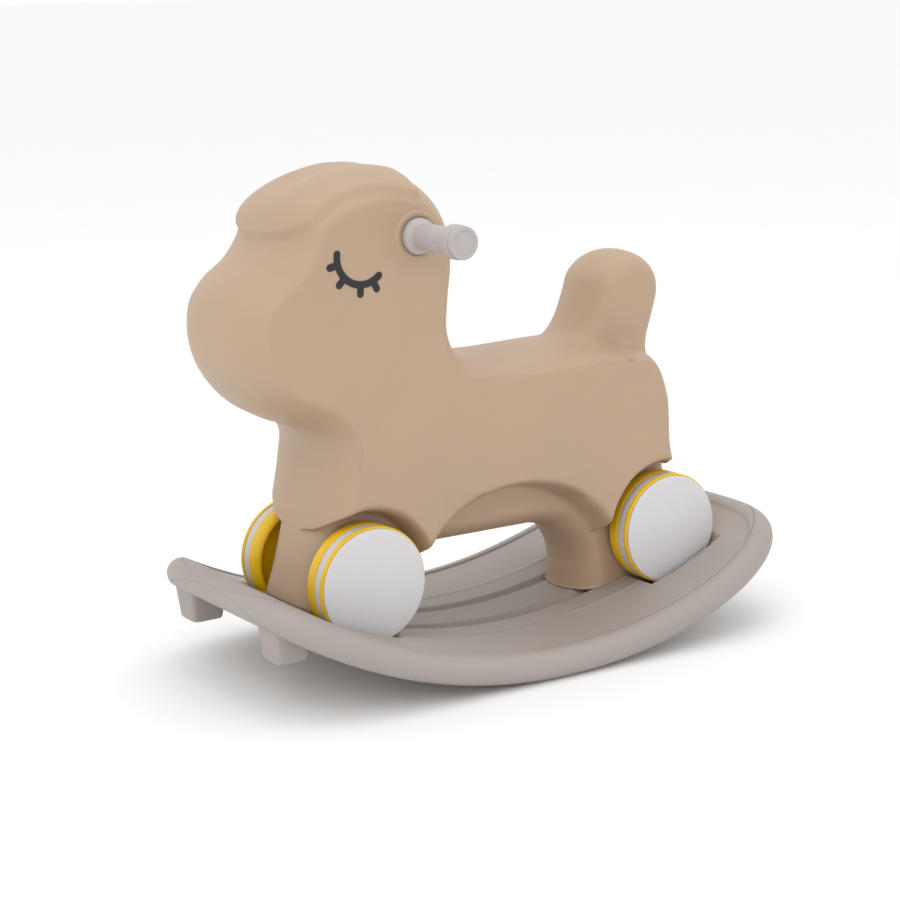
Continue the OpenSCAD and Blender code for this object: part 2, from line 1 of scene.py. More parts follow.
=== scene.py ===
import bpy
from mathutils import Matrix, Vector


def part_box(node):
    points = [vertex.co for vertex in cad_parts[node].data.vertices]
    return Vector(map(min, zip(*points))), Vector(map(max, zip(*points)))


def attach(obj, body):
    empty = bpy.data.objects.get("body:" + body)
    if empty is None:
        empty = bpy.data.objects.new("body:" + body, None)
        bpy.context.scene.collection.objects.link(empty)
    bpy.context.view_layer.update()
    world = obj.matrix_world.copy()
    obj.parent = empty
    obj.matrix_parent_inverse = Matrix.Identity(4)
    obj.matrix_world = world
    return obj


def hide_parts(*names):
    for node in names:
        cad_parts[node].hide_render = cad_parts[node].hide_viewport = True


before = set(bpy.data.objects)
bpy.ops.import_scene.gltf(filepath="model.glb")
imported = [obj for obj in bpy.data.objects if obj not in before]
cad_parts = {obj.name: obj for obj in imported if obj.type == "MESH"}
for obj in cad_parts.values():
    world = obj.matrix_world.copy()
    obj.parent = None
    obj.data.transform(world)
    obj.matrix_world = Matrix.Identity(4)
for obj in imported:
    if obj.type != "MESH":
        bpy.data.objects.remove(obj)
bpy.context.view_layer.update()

import math

import bmesh
import bpy
import numpy as np
from bpy.props import FloatProperty, FloatVectorProperty, PointerProperty
from bpy.types import Operator, Panel, PropertyGroup
from mathutils import Matrix, Vector

bl_info = {
    "name": "Rocking animal on wheels",
    "version": (1, 0, 0),
    "blender": (4, 5, 0),
    "location": "View3D > Sidebar > Rocking animal",
    "description": "Moulded skins, wheels, grips and finishes for a toddler's rocking animal",
    "category": "Object",
}

MM = 0.001
WHEELS = ("front_left", "front_right", "rear_left", "rear_right")


def box_of(node):
    """Low and high corner of a CAD node's box, in metres."""
    return [np.array(corner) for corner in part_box(node)]


def middle(node):
    """Middle of a CAD node's box, in metres."""
    low, high = box_of(node)
    return (low + high) / 2


HANDLE = middle("handle_bar")
FRONT_AXLE = middle("axle_front")
REAR_AXLE = middle("axle_rear")
BOARD_LOW, BOARD_HIGH = box_of("rocker_board")
HALF_LENGTH = (BOARD_HIGH[1] - BOARD_LOW[1]) / 2
HALF_WIDTH = (BOARD_HIGH[0] - BOARD_LOW[0]) / 2
CORE_LOW, CORE_HIGH = box_of("wheel_front_left_core")
CORE_RADIUS = (CORE_HIGH[2] - CORE_LOW[2]) / 2
BOLT_RADIUS = 4 * MM
BOLT_YS = (box_of("board_bolts")[0][1] / MM + BOLT_RADIUS / MM,
           box_of("board_bolts")[1][1] / MM - BOLT_RADIUS / MM)


# ---------------------------------------------------------------- properties

class BodyProps(PropertyGroup):
    """Sizes and colour of the moulded body"""
    colour: FloatVectorProperty(name="Body colour", description="Colour of the moulded body",
                                subtype="COLOR", default=(0.455, 0.322, 0.216), min=0, max=1)
    flank: FloatProperty(name="Flank half width", description="Half width over the flat flanks",
                         default=72.5 * MM, unit="LENGTH")
    bulge: FloatProperty(name="Bulge half width", description="Half width before the flank cuts it",
                         default=79 * MM, unit="LENGTH")
    keel: FloatProperty(name="Keel half width", description="Half width of legs and keel",
                        default=42 * MM, unit="LENGTH")
    head_round: FloatProperty(name="Head rounding", description="Depth of the head's rounding",
                              default=42 * MM, unit="LENGTH")
    seat_round: FloatProperty(name="Seat rounding", description="Depth of the seat's rounding",
                              default=25 * MM, unit="LENGTH")
    lip_round: FloatProperty(name="Arch lip rounding", description="Rounding over the arches",
                             default=9 * MM, unit="LENGTH")
    forelock: FloatProperty(name="Forelock height", description="How far the forelock stands out",
                            default=4.6 * MM, unit="LENGTH")


class BoardProps(PropertyGroup):
    """Sizes and colour of the rocker board"""
    colour: FloatVectorProperty(name="Board colour", description="Colour of the rocker board",
                                subtype="COLOR", default=(0.360, 0.322, 0.296), min=0, max=1)
    radius: FloatProperty(name="Rocker radius", description="Radius of the curved underside",
                          default=520 * MM, unit="LENGTH")
    thickness: FloatProperty(name="Thickness", description="Top skin to bottom skin",
                             default=28 * MM, unit="LENGTH")
    squareness: FloatProperty(name="Squareness", description="2 is an ellipse in plan", default=4.6)
    groove_depth: FloatProperty(name="Groove depth", description="Depth of the long grooves",
                                default=4 * MM, unit="LENGTH")
    groove_offset: FloatProperty(name="Groove offset", description="Long groove from the middle",
                                 default=30 * MM, unit="LENGTH")


class WheelProps(PropertyGroup):
    """Colours of the wheels"""
    core_colour: FloatVectorProperty(name="Core colour", description="Colour of the wheel core",
                                     subtype="COLOR", default=(0.800, 0.490, 0.0), min=0, max=1)
    tread_colour: FloatVectorProperty(name="Tread colour", description="Colour of the running band",
                                      subtype="COLOR", default=(0.600, 0.585, 0.590), min=0, max=1)
    cap_colour: FloatVectorProperty(name="Cap colour", description="Colour of the domed cap",
                                    subtype="COLOR", default=(0.640, 0.625, 0.640), min=0, max=1)


class HandleProps(PropertyGroup):
    """Colours of the grips and eyes"""
    colour: FloatVectorProperty(name="Grip colour", description="Colour of the grips",
                                subtype="COLOR", default=(0.450, 0.415, 0.405), min=0, max=1)
    eye_colour: FloatVectorProperty(name="Eye colour", description="Colour of the printed eyes",
                                    subtype="COLOR", default=(0.010, 0.009, 0.012), min=0, max=1)


class StageProps(PropertyGroup):
    """Camera of the stage"""
    azimuth: FloatProperty(name="Azimuth", description="Camera angle round the toy, in degrees",
                           default=57.2)
    elevation: FloatProperty(name="Elevation", description="Camera angle above the floor, degrees",
                             default=12.2)
    focal: FloatProperty(name="Focal length", description="In millimetres on a 36 mm film",
                         default=86.9)
    distance: FloatProperty(name="Distance", description="Camera to the aim point",
                            default=2.05, unit="LENGTH")
    roll: FloatProperty(name="Roll", description="Turn of the camera about its axis, degrees",
                        default=-1.3)
    aim: FloatVectorProperty(name="Aim", description="Point that the camera looks at",
                             subtype="XYZ", default=(-0.0103, -0.0215, 0.1858))


# ---------------------------------------------------------------- helpers

def smooth_path(points, at):
    """Catmull-Rom curve through the points, at the given values of its parameter, 0 to 1.

    A whole number stands for that many even steps."""
    p = np.asarray(points, float)
    s = np.linspace(0, 1, at) if isinstance(at, int) else np.asarray(at)
    s = s * (len(p) - 1)
    i = np.minimum(s.astype(int), len(p) - 2)
    t = (s - i)[:, None]
    a, b = p[np.maximum(i - 1, 0)], p[i]
    c, d = p[i + 1], p[np.minimum(i + 2, len(p) - 1)]
    return 0.5 * (2 * b + (c - a) * t + (2 * a - 5 * b + 4 * c - d) * t**2
                  + (3 * b - a - 3 * c + d) * t**3)


def path_distance(q, path):
    """Shortest distance from each point of q to a line of short straight pieces."""
    best = np.full(q.shape[:-1], 1e9)
    for a, b in zip(path[:-1], path[1:]):
        ab = b - a
        t = np.clip(((q - a) @ ab) / max(ab @ ab, 1e-12), 0, 1)
        best = np.minimum(best, np.linalg.norm(q - a - t[..., None] * ab, axis=-1))
    return best


def inside(q, loop):
    """Whether each point of q is inside a closed outline, by counting crossings."""
    y, z = q[..., 0], q[..., 1]
    odd = np.zeros(y.shape, bool)
    for (y0, z0), (y1, z1) in zip(loop, np.roll(loop, -1, axis=0)):
        if z0 == z1:
            continue
        hit = (z0 > z) != (z1 > z)
        odd ^= hit & (y < (y1 - y0) * (z - z0) / (z1 - z0) + y0)
    return odd


def quarter(s):
    """Quarter circle: 0 at 0, rising upright, and 1 from 1 on."""
    return np.sqrt(np.clip(1 - (1 - np.clip(s, 0, 1)) ** 2, 0, 1))


def ease(s):
    """0 below 0, 1 above 1, with soft ends."""
    s = np.clip(s, 0, 1)
    return s * s * (3 - 2 * s)


def softer(a, b, k):
    """The greater of a and b, with a fillet of about k between them."""
    return 0.5 * (a + b + np.sqrt((a - b) ** 2 + k * k))


def mesh_object(name, verts, faces):
    """A shaded-smooth object from an array of points and a list or array of faces."""
    mesh = bpy.data.meshes.new(name)
    mesh.from_pydata(np.asarray(verts).reshape(-1, 3).tolist(), [],
                     faces if isinstance(faces, list) else faces.tolist())
    mesh.update()
    mesh.shade_smooth()
    obj = bpy.data.objects.new(name, mesh)
    bpy.context.scene.collection.objects.link(obj)
    return obj


def grid_faces(rows, columns, wrap=False, start=0):
    """Quads between the points of a rows by columns grid, closed round when wrap is set."""
    i = np.arange(rows - 1)[:, None]
    j = np.arange(columns if wrap else columns - 1)[None, :]
    k = (j + 1) % columns
    a, b = i * columns + j, i * columns + k
    return np.stack([a, b, b + columns, a + columns], -1).reshape(-1, 4) + start


def lathe(name, profile, centre, side=1, segments=128, sharp_angle=40):
    """A profile of (radius, x) in metres spun about the crosswise line through centre.

    Point (i, j) is (x_i, r_i cos a_j, r_i sin a_j); the profile is a closed loop, and side -1
    mirrors it to the toy's right. Edges that turn by more than sharp_angle stay crisp."""
    p = np.asarray(profile, float)
    a = np.linspace(0, 2 * np.pi, segments, endpoint=False)
    verts = np.stack(np.broadcast_arrays(side * p[:, 1, None],
                                         centre[1] + p[:, 0, None] * np.cos(a),
                                         centre[2] + p[:, 0, None] * np.sin(a)), -1)
    faces = grid_faces(len(p) + 1, segments, True) % (len(p) * segments)
    obj = mesh_object(name, verts, faces)
    clean(obj)
    obj.data.set_sharp_from_angle(angle=math.radians(sharp_angle))
    return obj


def clean(obj):
    """Merges doubled points and turns every face outwards."""
    bm = bmesh.new()
    bm.from_mesh(obj.data)
    bmesh.ops.remove_doubles(bm, verts=bm.verts, dist=1e-6)
    bmesh.ops.dissolve_degenerate(bm, edges=bm.edges, dist=1e-7)
    bmesh.ops.recalc_face_normals(bm, faces=bm.faces)
    if bm.calc_volume(signed=True) < 0:
        bmesh.ops.reverse_faces(bm, faces=bm.faces)
    bm.to_mesh(obj.data)
    bm.free()


def rounded(profile, radius, steps=4):
    """The closed profile with each corner cut by a small arc of about that radius.

    A corner becomes a parabola from the side before it to the side after it; it takes at most
    0.45 of the shorter side."""
    p = np.asarray(profile, float)
    before, after = np.roll(p, 1, axis=0) - p, np.roll(p, -1, axis=0) - p
    lb, la = np.linalg.norm(before, axis=1), np.linalg.norm(after, axis=1)
    r = np.minimum(radius, 0.45 * np.minimum(lb, la))[:, None]
    start, end = p + before / lb[:, None] * r, p + after / la[:, None] * r
    t = np.linspace(0, 1, steps)[None, :, None]
    curve = (1 - t) ** 2 * start[:, None] + 2 * t * (1 - t) * p[:, None] + t**2 * end[:, None]
    return curve.reshape(-1, 2)


# ---------------------------------------------------------------- finishes

MOTTLE_SCALE = 9        # cells per metre of the soft change in colour
GLOSS_SCALE = 35        # cells per metre of the soft change in gloss


def finish(name, colour, roughness, grain, bump, mottle=0.04, coat=0.0, metallic=0.0):
    """Moulded or metal finish: fine grain in the bump, soft mottling in colour and gloss.

    grain is the number of grain cells per metre, bump the height of the grain in metres, and
    mottle the share by which the colour varies."""
    mat = bpy.data.materials.new(name)
    mat.use_nodes = True
    nodes, links = mat.node_tree.nodes, mat.node_tree.links
    nodes.clear()
    out = nodes.new("ShaderNodeOutputMaterial")
    shade = nodes.new("ShaderNodeBsdfPrincipled")
    links.new(shade.outputs["BSDF"], out.inputs["Surface"])
    shade.inputs["Metallic"].default_value = metallic
    shade.inputs["Coat Weight"].default_value = coat
    shade.inputs["Coat Roughness"].default_value = 0.25
    place = nodes.new("ShaderNodeTexCoord")

    def noise(scale, detail, rough=0.5):
        n = nodes.new("ShaderNodeTexNoise")
        n.inputs["Scale"].default_value = scale
        n.inputs["Detail"].default_value = detail
        n.inputs["Roughness"].default_value = rough
        links.new(place.outputs["Object"], n.inputs["Vector"])
        return n.outputs["Fac"]

    tone = nodes.new("ShaderNodeValToRGB")
    dark = [c * (1 - mottle) for c in colour[:3]] + [1]
    light = [min(1, c * (1 + mottle)) for c in colour[:3]] + [1]
    tone.color_ramp.elements[0].position, tone.color_ramp.elements[0].color = 0.3, dark
    tone.color_ramp.elements[1].position, tone.color_ramp.elements[1].color = 0.7, light
    links.new(noise(MOTTLE_SCALE, 3), tone.inputs["Fac"])
    links.new(tone.outputs["Color"], shade.inputs["Base Color"])
    gloss = nodes.new("ShaderNodeMapRange")
    gloss.inputs["To Min"].default_value = roughness - 0.05
    gloss.inputs["To Max"].default_value = roughness + 0.07
    links.new(noise(GLOSS_SCALE, 4, 0.6), gloss.inputs["Value"])
    links.new(gloss.outputs["Result"], shade.inputs["Roughness"])
    relief = nodes.new("ShaderNodeBump")
    relief.inputs["Strength"].default_value = 1.0
    relief.inputs["Distance"].default_value = bump
    links.new(noise(grain, 2), relief.inputs["Height"])
    links.new(relief.outputs["Normal"], shade.inputs["Normal"])
    return mat


def paint(obj, mat):
    """One finish over the whole piece."""
    obj.data.materials.clear()
    obj.data.materials.append(mat)


def paint_nodes(names, mat):
    """A finish on CAD nodes that stay as they are."""
    for name in names:
        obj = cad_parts[name]
        if not obj.material_slots:
            obj.data.materials.append(mat)
        for s in obj.material_slots:
            s.link = "OBJECT"
            s.material = mat


def add(obj, body, mat, slot, *nodes):
    """Gives a piece its finish and its body, and hides the CAD nodes it stands for; slot is not
    used.
    """
    paint(obj, mat)
    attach(obj, body)
    if nodes:
        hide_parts(*nodes)


# ---------------------------------------------------------------- body skin

# Outlines in the side plane, [y, z] in millimetres, from the nose foot round to the tail foot.
# Each rib of the skin runs from the belly line, through the middle line, to the outer line.
THROAT = [-189, 216]
CHEST = [[-222, 58], [-218, 82], [-212, 100], [-204, 128], [-195, 165], [-189, 195], THROAT]
HEAD = [[-202, 234], [-227, 245], [-252, 261], [-271, 287], [-279, 318], [-275, 350],
        [-259, 373], [-238, 389], [-225, 406], [-216, 428], [-196, 444], [-163, 456],
        [-127, 460], [-92, 453], [-68, 436], [-53, 410], [-48, 375], [-52, 340], [-53, 312]]
SEAT = [[-41, 291], [-17, 282], [18, 280], [58, 281]]
TAIL = [[84, 283], [99, 289], [110, 303], [118, 322], [126, 343], [142, 357], [163, 362],
        [184, 356], [197, 341], [200, 321], [194, 298], [187, 274]]
RUMP = [[191, 250], [196, 232], [199, 206], [200, 180], [207, 150], [214, 118], [221, 84],
        [224, 58]]
UNDER_TAIL = [[98, 282], [136, 280], [166, 271], [184, 254]]
MIDDLE = [
    [-172, 46], [-170, 67], [-166, 86], [-161, 109], [-156, 138], [-156, 170], [-157, 190],
    [-170, 222], [-185, 262], [-185, 275], [-182, 284], [-176, 292], [-170, 296], [-163, 297],
    [-156, 297], [-149, 297], [-142, 297], [-135, 296], [-128, 295], [-121, 293], [-114, 290],
    [-107, 285], [-100, 277], [-94, 265], [-88, 250], [-80, 236], [-66, 220], [-40, 205],
    [-8, 198], [24, 196], [52, 200], [76, 208], [96, 222], [112, 240], [124, 254], [132, 262],
    [139, 264], [145, 262], [150, 256], [154, 248], [157, 238], [160, 226], [161, 210],
    [161, 194], [159, 174], [156, 152], [154, 122], [155, 88], [158, 64], [159, 43]]
BELLY = ([[-122, 34], [-121, 52], [-118, 68], [-112, 87], [-104, 97], [-96, 103], [-88, 106],
          [-80, 108], [-73, 108], [-67, 108], [-61, 108], [-56, 108], [-51, 108], [-46, 108],
          [-41, 108], [-36, 108], [-32, 108], [-28, 108], [-24, 108], [-20, 108], [-16, 108],
          [-12, 108], [-8, 108], [-4, 108], [0, 108], [4, 108], [8, 108], [13, 108], [19, 108],
          [26, 108], [34, 108], [41, 108], [47, 108], [53, 107], [59, 106], [64, 105], [69, 103],
          [74, 100], [78, 96], [82, 92], [85, 88], [88, 84], [90, 80], [92, 76], [93, 72],
          [94, 68], [95, 62], [95, 54], [95, 44], [94, 28]])
ARCH_MIDDLE, ARCH_RADIUS = np.array([2.0, 35.0]), 122.0    # the arch between the legs
WHEEL_ARCH_GAP = 7      # between a wheel and the arch over it
FLANK_BOTTOM = 100      # the flanks end above this height
LEG_HALF_WIDTH = 36     # where the lip of an arch dies into the leg
LEG_EDGE, TAIL_EDGE, TAIL_HALF_WIDTH = 24, 17, 38
CHEST_ROUND = 30        # how deep the rounding of the chest reaches
FOOT_SINK = 1.3         # the feet follow the board's top this far under it
RIBS, STEPS = 480, 96


def half_width(q, outer, belly):
    """Half width of the body over each point of the side plane, in millimetres.

    The legs, keel and tail are a slab whose edges are quarter circles. The head, flanks and rump
    are a wider slab: an ellipse cut flat by the flank plane at its upper edge, and a quarter
    circle at the lip over the wheels and over the arch between the legs. The greater of the two
    is taken, with a fillet where they meet."""
    props = bpy.context.scene.body_props
    y, z = q[..., 0], q[..., 1]
    edge = np.minimum(path_distance(q, outer), path_distance(q, belly))
    in_tail = ease((z - 262) / 22) * ease((y - 84) / 20)
    slab_half_width = props.keel / MM * (1 - in_tail) + TAIL_HALF_WIDTH * in_tail
    slab = slab_half_width * quarter(edge / (LEG_EDGE - (LEG_EDGE - TAIL_EDGE) * in_tail))

    crest = smooth_path(CHEST[1:] + HEAD + SEAT + UNDER_TAIL + RUMP[1:-1], 300)
    within = inside(q, np.vstack([crest, [[221, 40], [-218, 40]]]))
    to_crest = path_distance(q, crest)
    lips = [np.linalg.norm(q - axle[1:] / MM, axis=-1) - (CORE_RADIUS / MM + WHEEL_ARCH_GAP)
            for axle in (FRONT_AXLE, REAR_AXLE)]
    lips.append(np.linalg.norm(q - ARCH_MIDDLE, axis=-1) - ARCH_RADIUS)
    lips.append(z - FLANK_BOTTOM)
    lip = np.minimum.reduce(lips)
    chest = ease((236 - z) / 40) * ease((-120 - y) / 40)
    seat = ease((z - 225) / 40) * ease((y + 62) / 40) * ease((215 - y) / 40)
    reach = (props.head_round / MM * (1 - chest) * (1 - seat) + CHEST_ROUND * chest
             + props.seat_round / MM * seat)
    top = props.bulge / MM * quarter(to_crest / reach)
    flat = props.flank / MM
    top = flat - softer(flat - top, 0, 1.2) + 0.6
    over_lip = np.sin(np.clip(lip / (props.lip_round / MM), 0, 1) * np.pi / 2)
    side = LEG_HALF_WIDTH + (flat - LEG_HALF_WIDTH) * over_lip
    wide = np.where(within & (lip > 0), np.minimum(top, side), 0)
    both = softer(slab, wide, 6 * ease(edge / 18))
    # one light smoothing of the lips, where the grid meets them at a slant
    soft = np.pad(both, 1, mode="edge")
    soft = soft[:-2] + 2 * soft[1:-1] + soft[2:]
    soft = (soft[:, :-2] + 2 * soft[:, 1:-1] + soft[:, 2:]) / 16
    near_lip = ease((14 - np.abs(lip - 4)) / 6) * ease((edge - 4) / 6)
    both = both + (soft - both) * near_lip
    return np.where(edge < 1e-6, 0, both)


def rib_places():
    """Where each rib stands along the outlines, 0 to 1: close together at the two arch lips."""
    u = np.linspace(0, 1, 2000)
    crowd = 1 + 2.4 * np.exp(-((u - 0.065) / 0.028) ** 2) + 2.0 * np.exp(-((u - 0.925) / 0.03) ** 2)
    run = np.cumsum(crowd) - crowd[0]
    return np.interp(np.linspace(0, run[-1], RIBS), run, u)


def stand_on_board(q):
    """Pulls the side-plane points of the feet back to the arc of the board's top skin."""
    board = bpy.context.scene.board_props
    reach = (board.radius - board.thickness) / MM + FOOT_SINK
    centre = np.array([0, board.radius / MM])
    arm = q - centre
    far = np.linalg.norm(arm, axis=-1, keepdims=True)
    return np.where((far > reach) & (q[..., 1:] < 140), centre + arm * reach / far, q)


def body_skin():
    """The body as ribs (u) by steps round each rib (v): belly, left side, crest, right side.

    Rib u is a parabola through the belly, middle and outer lines; step v goes along it with the
    steps close together at both ends; the point is (half width, y, z), mirrored on the right."""
    u = rib_places()
    outer = smooth_path(CHEST + HEAD + SEAT + TAIL + RUMP, u)
    centre = smooth_path(MIDDLE, u)
    belly = smooth_path(BELLY, u)
    v = (1 - np.cos(np.linspace(0, np.pi, STEPS))) / 2
    v = (0.35 * np.linspace(0, 1, STEPS) + 0.65 * v)[None, :, None]
    bow = (centre - (outer + belly) / 2)[:, None]
    q = belly[:, None] * (1 - v) + outer[:, None] * v + 4 * v * (1 - v) * bow
    w = half_width(q, outer, belly)
    w[:, 0] = w[:, -1] = 0
    left = np.concatenate([w[..., None], stand_on_board(q)], -1)
    right = left[:, -2:0:-1] * np.array([-1, 1, 1])
    skin = raise_forelock(np.concatenate([left, right], 1))
    rows, ring = skin.shape[:2]
    faces = grid_faces(rows, ring, True).tolist()
    # the two feet end in a flat face, as quads from the left side to the right
    j = np.arange(1, STEPS - 1)
    foot = np.stack([j[:-1], j[1:], ring - j[1:], ring - j[:-1]], -1)
    for base in (0, (rows - 1) * ring):
        faces += (foot + base).tolist()
    obj = mesh_object("body_skin", skin.reshape(-1, 3) * MM, faces)
    clean(obj)
    return obj


FORELOCK_LINE = [[-245, 402], [-228, 404], [-211, 413], [-192, 427], [-168, 439], [-138, 443],
                 [-115, 439], [-96, 434]]
HEAD_CORE = np.array([0, -150, 330])      # a point well inside the head


def raise_forelock(skin):
    """Lifts the lump of hair on the forehead along the surface's own normal.

    The normal is the cross product of the grid's two directions. The lump is what lies above an
    S-shaped line on each side of the head; its edge eases in over a few millimetres."""
    du = np.gradient(skin, axis=0)
    dv = np.roll(skin, -1, axis=1) - np.roll(skin, 1, axis=1)
    normal = np.cross(du, dv)
    normal /= np.linalg.norm(normal, axis=-1, keepdims=True) + 1e-9
    y, z = skin[..., 1], skin[..., 2]
    out = np.sign((normal * (skin - HEAD_CORE)).sum(-1, keepdims=True))
    s_line = smooth_path(FORELOCK_LINE, 200)
    above = z - np.interp(y, s_line[:, 0], s_line[:, 1])
    lift = ease(above / 4 + 0.5) * ease((-92 - y) / 9) * ease((z - 398) / 8)
    lift *= 1 - ease((z - 432) / 16) * (1 - ease(np.abs(skin[..., 0]) / 26))
    height = bpy.context.scene.body_props.forelock / MM
    return skin + normal * out * (lift * height)[..., None]


# Raised ring round the handlebar on each side of the head: (radius, x) in millimetres.
BOSS = [(17.2, 67.5), (17.2, 74.0), (17.8, 74.5), (21.0, 74.5), (22.0, 73.6), (23.4, 72.4),
        (23.4, 70.0), (20.4, 64.0), (8.2, 64.0), (8.2, 67.5)]


class ROCKER_OT_body(Operator):
    """Smooth skin of the moulded body, with the raised ring round the handlebar on each side"""
    bl_idname = "rocker.body"
    bl_label = "Body"

    def execute(self, context):
        props = context.scene.body_props
        mat = finish("beige_moulding", props.colour, 0.46, 900, 0.00010, 0.03)
        add(body_skin(), "ride_body", mat, "body_beige", "body_shell")
        for side, name in ((1, "boss_left"), (-1, "boss_right")):
            add(lathe(name, np.array(BOSS) * MM, HANDLE, side), "ride_body", mat, "body_beige")
        return {"FINISHED"}


# ---------------------------------------------------------------- rocker board

PANEL_INSET, PANEL_STEP = 17, 1.6             # the top panel sits lower than the rim
GROOVE_HALF_LENGTH, GROOVE_HALF_WIDTH = 118, 8.5
BEAD_HALF_LENGTH, BEAD_HALF_SPACING, BEAD_RADIUS, BEAD_HEIGHT = 150, 62, 6, 1.2
WELL_GAP, WELL_INNER_X, WELL_OUTER_X = 3.2, 42.8, 84.6
POCKET_RADIUS, POCKET_ROOF = 19.5, 9          # pockets for the hand knobs, under the top skin
END_ROWS = 16                                 # extra rows close together at each end
LUG_X, LUG_Y, LUG_ROOT, LUG_DROP = 80, 254.0, 15, 19


def board_shape():
    """Numbers that both skins of the board share, in millimetres.

    Half width, half length along the curve, squareness in plan, half thickness, and the radii
    of the middle arc and of the underside."""
    props = bpy.context.scene.board_props
    t, radius = props.thickness / MM / 2, props.radius / MM
    mid = radius - t
    b = mid * math.asin((HALF_LENGTH / MM - t) / mid) + t
    return HALF_WIDTH / MM, b, props.squareness, t, mid, radius


def board_grid(rows, columns):
    """Plan position (x, s) of a grid over the board; s runs along its curve.

    Rows are evenly spaced, then close together near the two ends; in each row x goes from edge
    to edge with its steps close together at the rim."""
    a, b, n = board_shape()[:3]
    even = np.linspace(-(b - 16), b - 16, rows)
    end = b - 16 * (1 - np.sin(np.linspace(0, np.pi / 2, END_ROWS)[1:])) ** 1.3
    s = np.concatenate([-end[::-1], even, end])
    s = np.clip(s, -b + 1e-3, b - 1e-3)
    width = a * (1 - (np.abs(s) / b) ** n) ** (1 / n)
    rim = np.minimum(18, width * 0.5)[:, None]
    c = np.sin(np.linspace(0, np.pi / 2, 13))
    side = width[:, None] - rim * (1 - c)[None, ::-1]
    inner = np.linspace(1, -1, columns)[None, 1:-1] * (width[:, None] - rim)
    x = np.concatenate([side[:, ::-1], inner, -side], 1)
    return x, np.broadcast_to(s[:, None], x.shape)


def board_skin():
    """Both skins of the rocker board as one closed grid.

    A skin is the middle arc plus or minus half the thickness times a quarter circle of the
    distance to the rim, which is a superellipse in plan. The top takes off the panel step and
    the grooves, adds a low bead round them, and is cut by the wheel wells; the bottom takes off
    the pockets of the hand knobs."""
    props = bpy.context.scene.board_props
    a, b, n, t, mid, radius = board_shape()
    x, s = board_grid(300, 118)
    f = ((np.abs(x) / a) ** n + (np.abs(s) / b) ** n) ** (1 / n)
    slope = np.hypot((np.abs(x) / a) ** (n - 1) / a, (np.abs(s) / b) ** (n - 1) / b)
    gap = np.where(f < 0.3, 99, (1 - f) * np.maximum(f, 1e-3) ** (n - 1) / (slope + 1e-12))
    height = t * quarter(gap / t)

    def place(off):
        turn = s / mid
        q = mid - off
        return np.stack([x, q * np.sin(turn), radius - q * np.cos(turn)], -1)

    top_off = height.copy()
    top_off -= PANEL_STEP * ease((gap - PANEL_INSET) / 3.5)
    for hand in (-1, 1):
        d = np.hypot(np.maximum(np.abs(s) - GROOVE_HALF_LENGTH, 0),
                     x - hand * props.groove_offset / MM)
        top_off -= props.groove_depth / MM * ease((GROOVE_HALF_WIDTH - d) / 5)
    bead = np.hypot(np.maximum(np.abs(s) - BEAD_HALF_LENGTH, 0),
                    np.maximum(np.abs(x) - BEAD_HALF_SPACING, 0))
    top_off += BEAD_HEIGHT * ease((5 - np.abs(bead - BEAD_RADIUS)) / 5)
    top = place(top_off)
    for axle in (FRONT_AXLE, REAR_AXLE):
        y0, z0 = axle[1] / MM, axle[2] / MM
        r = CORE_RADIUS / MM + WELL_GAP
        dy = np.clip(np.abs(top[..., 1] - y0), 0, r)
        floor = z0 - np.sqrt(r * r - dy * dy)
        edge = np.minimum(np.abs(x) - WELL_INNER_X, WELL_OUTER_X - np.abs(x))
        deep = ease(edge / 2.0 + 0.5) * (np.abs(top[..., 1] - y0) < r)
        top[..., 2] = np.where(floor < top[..., 2], top[..., 2] * (1 - deep) + floor * deep,
                               top[..., 2])
    bottom = place(-height)
    for bolt_y in BOLT_YS:
        d = np.hypot(bottom[..., 0], bottom[..., 1] - bolt_y)
        roof = radius - math.sqrt((radius - 2 * t) ** 2 - bolt_y**2) - POCKET_ROOF
        deep = ease((POCKET_RADIUS - d) / 1.6 + 0.5)
        bottom[..., 2] = np.where(roof > bottom[..., 2], bottom[..., 2] * (1 - deep) + roof * deep,
                                  bottom[..., 2])
    ring = np.concatenate([top, bottom[:, ::-1]], 1)
    rows, columns = ring.shape[:2]
    half = x.shape[1]
    faces = grid_faces(rows, columns, True).tolist()
    for base in (0, (rows - 1) * columns):
        j = np.arange(half - 1)
        cap = np.stack([j, j + 1, columns - 2 - j, columns - 1 - j], -1) + base
        faces += cap.tolist()
    obj = mesh_object("rocker_skin", ring.reshape(-1, 3) * MM, faces)
    clean(obj)
    return obj


def lug(name, side, end):
    """An anti-tip lug: a rounded square that narrows from its root to a flat foot.

    Point (i, j) lies on a superellipse of power 7 and half size i, at depth i; j goes round."""
    radius = board_shape()[-1]
    y = end * LUG_Y
    underside = radius - math.sqrt(radius**2 - y**2)
    root, foot = underside + LUG_ROOT, underside - LUG_DROP
    depth = np.array([0, 0.35, 0.7, 0.9, 0.965, 0.99, 1.0, 1.0, 1.0])
    size = np.array([19.0, 17.8, 16.4, 15.6, 15.0, 14.2, 13.0, 7.0, 0.01])
    c = np.linspace(0, 2 * np.pi, 64, endpoint=False)
    power = 2 / 7.0
    cx = np.sign(np.cos(c)) * np.abs(np.cos(c)) ** power
    cy = np.sign(np.sin(c)) * np.abs(np.sin(c)) ** power
    verts = np.stack(np.broadcast_arrays(side * LUG_X + size[:, None] * cx,
                                         y + size[:, None] * cy,
                                         (root + (foot - root) * depth)[:, None]), -1)
    faces = grid_faces(len(depth), 64, True).tolist() + [list(range(64))]
    obj = mesh_object(name, verts * MM, faces)
    clean(obj)
    obj.data.set_sharp_from_angle(angle=math.radians(50))
    return obj


